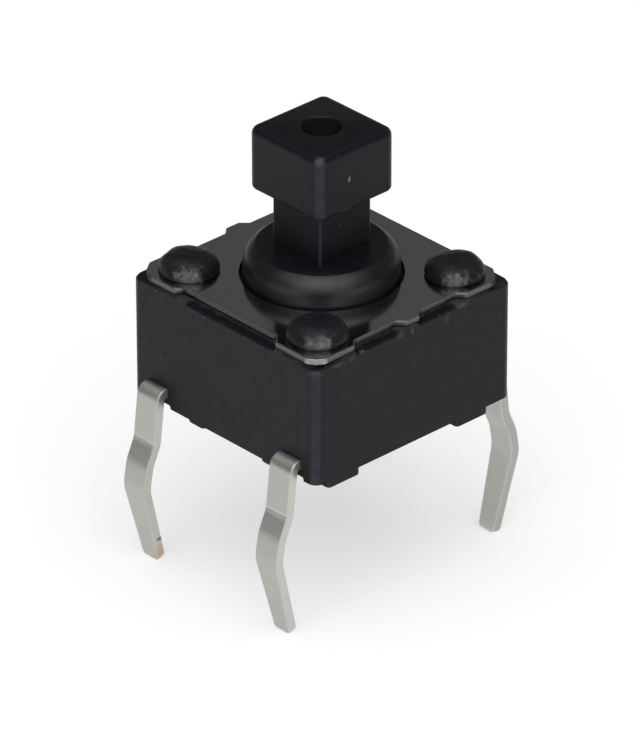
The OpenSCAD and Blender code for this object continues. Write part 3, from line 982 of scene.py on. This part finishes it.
def leg_points(steps=12):
    """Points of the leg's middle line with the direction at each: (x, z, angle)."""
    found = []
    for i in range(1, len(LEG_LINE) - 1):
        before, here, after = (Vector(LEG_LINE[k][:2]) for k in (i - 1, i, i + 1))
        came, goes = here - before, after - here
        start = math.atan2(came.y, came.x)
        turn = (math.atan2(goes.y, goes.x) - start + math.pi) % (2 * math.pi) - math.pi
        radius = LEG_LINE[i][2]
        hand = math.copysign(1, turn)
        tangent = here - came.normalized() * radius * math.tan(abs(turn) / 2)
        centre = tangent + hand * radius * Vector((-math.sin(start), math.cos(start)))
        for step in range(steps + 1):
            angle = start + turn * step / steps
            at = centre - hand * radius * Vector((-math.sin(angle), math.cos(angle)))
            found.append((at.x, at.y, angle))
    # The straight from the last bend to the tip, with close steps in the tip's own shape
    x, z, angle = found[-1]
    end = Vector(LEG_LINE[-1][:2])
    length = (end - Vector((x, z))).length
    for left in (0.5 * length, 0.3, 0.2, 0.15, 0.1, 0.07, 0.04, 0.02, 0.006, 0):
        found.append((end.x - left * math.cos(angle), end.y - left * math.sin(angle), angle))
    return found


def strip_ring(x, z, angle, width, thickness, y):
    """Ring of a rounded rectangle across the strip."""
    edge = min(STRIP_EDGE_R, 0.49 * thickness, 0.49 * width)
    ring = []
    corners = (((1, 1), 0), ((-1, 1), 90), ((-1, -1), 180), ((1, -1), 270))
    for (side_t, side_w), start in corners:
        centre = (side_t * (thickness / 2 - edge), side_w * (width / 2 - edge))
        for t, w in arc(centre, edge, start, start + 90, 4):
            ring.append((x - t * math.sin(angle), y + w, max(z + t * math.cos(angle), TIP_Z)))
    return ring


def strip(y):
    """Strip with a bent leg at each end, from one tip to the other."""
    right = []
    for x, z, angle in leg_points():
        taper = min(max((KNEE_Z - z) / (KNEE_Z - TIP_Z), 0), 1)
        width = STRIP_W + (TIP_W - STRIP_W) * taper
        thickness = STRIP_T
        left = math.hypot(x - LEG_LINE[-1][0], z - TIP_Z)
        if left < TIP_TAPER:
            share = 1 - left / TIP_TAPER
            width -= 2 * TIP_CUT * (1 - math.sqrt(max(1 - share**2, 0)))
            thickness -= TIP_THINNING * (1 - math.sqrt(max(1 - share**4, 0)))
        right.append((x, z, angle, width, thickness))
    rings = [strip_ring(-x, z, -a, w, t, y) for x, z, a, w, t in reversed(right)]
    rings += [strip_ring(x, z, a, w, t, y) for x, z, a, w, t in right]
    return loft(rings)


def button(x):
    """Contact button, from inside its strip up."""
    edge = BUTTON_EDGE_R
    crown = quarter(edge, 3, 0, 90)
    crown = [(BUTTON_R - edge + out, BUTTON_TOP - edge + up) for out, up in crown]
    return lathe([(BUTTON_R, STRIP_Z + 0.02), *crown], 32, (x, 0))


def make_terminals():
    """Two strips: one carries the middle contact on a tongue, the other two contacts on arms."""
    tin = [tin_finish()]
    high = STRIP_Z + STRIP_T
    tongue = [(TONGUE_HALF, STRIP_AT), (-TONGUE_HALF, STRIP_AT)]
    tongue += arc((0, 0), TONGUE_HALF, 180, 360, 24)
    tools = [("UNION", prism(tongue, STRIP_Z, high)), ("UNION", button(0))]
    bm = combine(strip(STRIP_AT), tools)
    piece("middle_strip", bm, tin, BASE, "middle_contact_terminal")
    tools = []
    for x in (-CONTACT_AT, CONTACT_AT):
        arm = rectangle((x - ARM_HALF, -STRIP_AT), (x + ARM_HALF, ARM_HALF))
        tools += [("UNION", prism(arm, STRIP_Z, high)), ("UNION", button(x))]
    bm = combine(strip(-STRIP_AT), tools)
    piece("outer_strip", bm, tin, BASE, "outer_contact_terminal")


def dress_dome():
    """The dome keeps the solid's own mesh, and gets its finish."""
    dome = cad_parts["snap_dome"]
    dome.data.materials.clear()
    dome.data.materials.append(dome_finish())


# ---------------------------------------------------------------- studio

# The photo's camera: its direction as counted below and its roll in degrees, its distance from
# the point it looks at, that point's height, and its lens and sensor, all in millimetres
VIEW_AZIMUTH, VIEW_ELEVATION, VIEW_ROLL = -43.11, 29.7, -0.07
VIEW_DISTANCE, AIM_Z = 185.5, 0.611
LENS, SENSOR, SHIFT_X = 383.4, 36.0, -0.0026
FLOOR_HALF = 1500
# Where the backdrop begins and ends, in degrees above the horizon
BACKDROP_FROM, BACKDROP_TO = 1.5, 5


def direction(azimuth, elevation):
    """Unit vector from the object towards a place round it; azimuth 0 is -Y and 90 is +X."""
    a, e = math.radians(azimuth), math.radians(elevation)
    return Vector((math.sin(a) * math.cos(e), -math.cos(a) * math.cos(e), math.sin(e)))


def make_camera():
    data = bpy.data.cameras.new("camera")
    data.lens, data.sensor_width = LENS, SENSOR
    data.shift_x = SHIFT_X
    data.clip_start, data.clip_end = 0.01, 10
    made = bpy.data.objects.new("camera", data)
    scene.collection.objects.link(made)
    back = direction(VIEW_AZIMUTH, VIEW_ELEVATION)
    made.location = Vector((0, 0, AIM_Z)) * MM + back * VIEW_DISTANCE * MM
    roll = Matrix.Rotation(math.radians(VIEW_ROLL), 3, "Z")
    made.rotation_euler = ((-back).to_track_quat("-Z", "Y").to_matrix() @ roll).to_euler()
    scene.camera = made


def make_lamp(name, azimuth, elevation, distance, size, radiance, tint=(1, 1, 1)):
    """Rectangular soft light, sizes in metres, that faces the object; radiance 1 looks white."""
    data = bpy.data.lights.new(name, "AREA")
    data.shape = "RECTANGLE"
    data.size, data.size_y = size
    data.energy = radiance * size[0] * size[1] * math.pi
    data.color = tint
    made = bpy.data.objects.new(name, data)
    scene.collection.objects.link(made)
    towards = direction(azimuth, elevation)
    made.location = towards * distance
    made.rotation_euler = towards.to_track_quat("Z", "Y").to_euler()
    made.visible_camera = False


def make_world():
    """Pale backdrop low round the horizon, fading into a dim ceiling."""
    world = bpy.data.worlds.new("studio")
    world.use_nodes = True
    scene.world = world
    tree = world.node_tree
    nodes, links = tree.nodes, tree.links
    split = nodes.new("ShaderNodeSeparateXYZ")
    links.new(nodes.new("ShaderNodeTexCoord").outputs["Generated"], split.inputs[0])
    ramp = nodes.new("ShaderNodeValToRGB")
    links.new(split.outputs["Z"], ramp.inputs[0])
    ends = ((BACKDROP_FROM, 0.9), (BACKDROP_TO, 0.12))
    for element, (elevation, level) in zip(ramp.color_ramp.elements, ends):
        element.position = math.sin(math.radians(elevation))
        element.color = grey(level)
    links.new(ramp.outputs["Color"], nodes["Background"].inputs["Color"])


def floor_finish():
    """White paper: near white to the camera and in reflections, and open from below."""
    finish = Finish("floor_paper")
    tree = finish.tree
    finish.set(Base_Color=grey(0.9), Roughness=0.9, Specular_IOR_Level=0.1)

    def shader(kind, **values):
        node = tree.nodes.new(kind)
        for name, value in values.items():
            finish.put(node.inputs[name], value)
        return node.outputs[0]

    def choose(factor, first, second):
        node = tree.nodes.new("ShaderNodeMixShader")
        finish.put(node.inputs[0], factor)
        tree.links.new(first, node.inputs[1])
        tree.links.new(second, node.inputs[2])
        return node.outputs[0]

    paper = tree.nodes.new("ShaderNodeAddShader")
    shade = shader("ShaderNodeBsdfDiffuse", Color=grey(0.62))
    glow = shader("ShaderNodeEmission", Color=grey(1), Strength=0.54)
    tree.links.new(shade, paper.inputs[0])
    tree.links.new(glow, paper.inputs[1])
    path = tree.nodes.new("ShaderNodeLightPath").outputs
    seen = finish.math("MAXIMUM", path["Is Camera Ray"], path["Is Glossy Ray"])
    seen = finish.math("MAXIMUM", seen, path["Is Transmission Ray"])
    above = choose(seen, finish.shader.outputs[0], paper.outputs[0])
    below = tree.nodes.new("ShaderNodeNewGeometry").outputs["Backfacing"]
    whole = choose(below, above, shader("ShaderNodeBsdfTransparent"))
    tree.links.new(whole, tree.nodes["Material Output"].inputs["Surface"])
    return finish.material


def make_floor():
    half = FLOOR_HALF * MM
    mesh = bpy.data.meshes.new("floor")
    corners = [(x, y, cad_low.z) for x, y in rectangle((-half, -half), (half, half))]
    mesh.from_pydata(corners, [], [(0, 1, 2, 3)])
    made = bpy.data.objects.new("floor", mesh)
    scene.collection.objects.link(made)
    mesh.materials.append(floor_finish())


def make_studio():
    make_camera()
    make_world()
    make_floor()
    cool = (0.96, 0.99, 1.0)
    make_lamp("key", VIEW_AZIMUTH, 64, distance=0.5, size=(0.72, 0.86), radiance=1.6, tint=cool)
    for name, azimuth in (("left_fill", -150), ("right_fill", 62)):
        make_lamp(name, azimuth, 45, distance=0.6, size=(0.6, 0.5), radiance=0.2)


make_housing()
make_stake_heads()
make_cover()
make_plunger()
make_terminals()
dress_dome()
make_studio()

scene.view_settings.view_transform = "Standard"
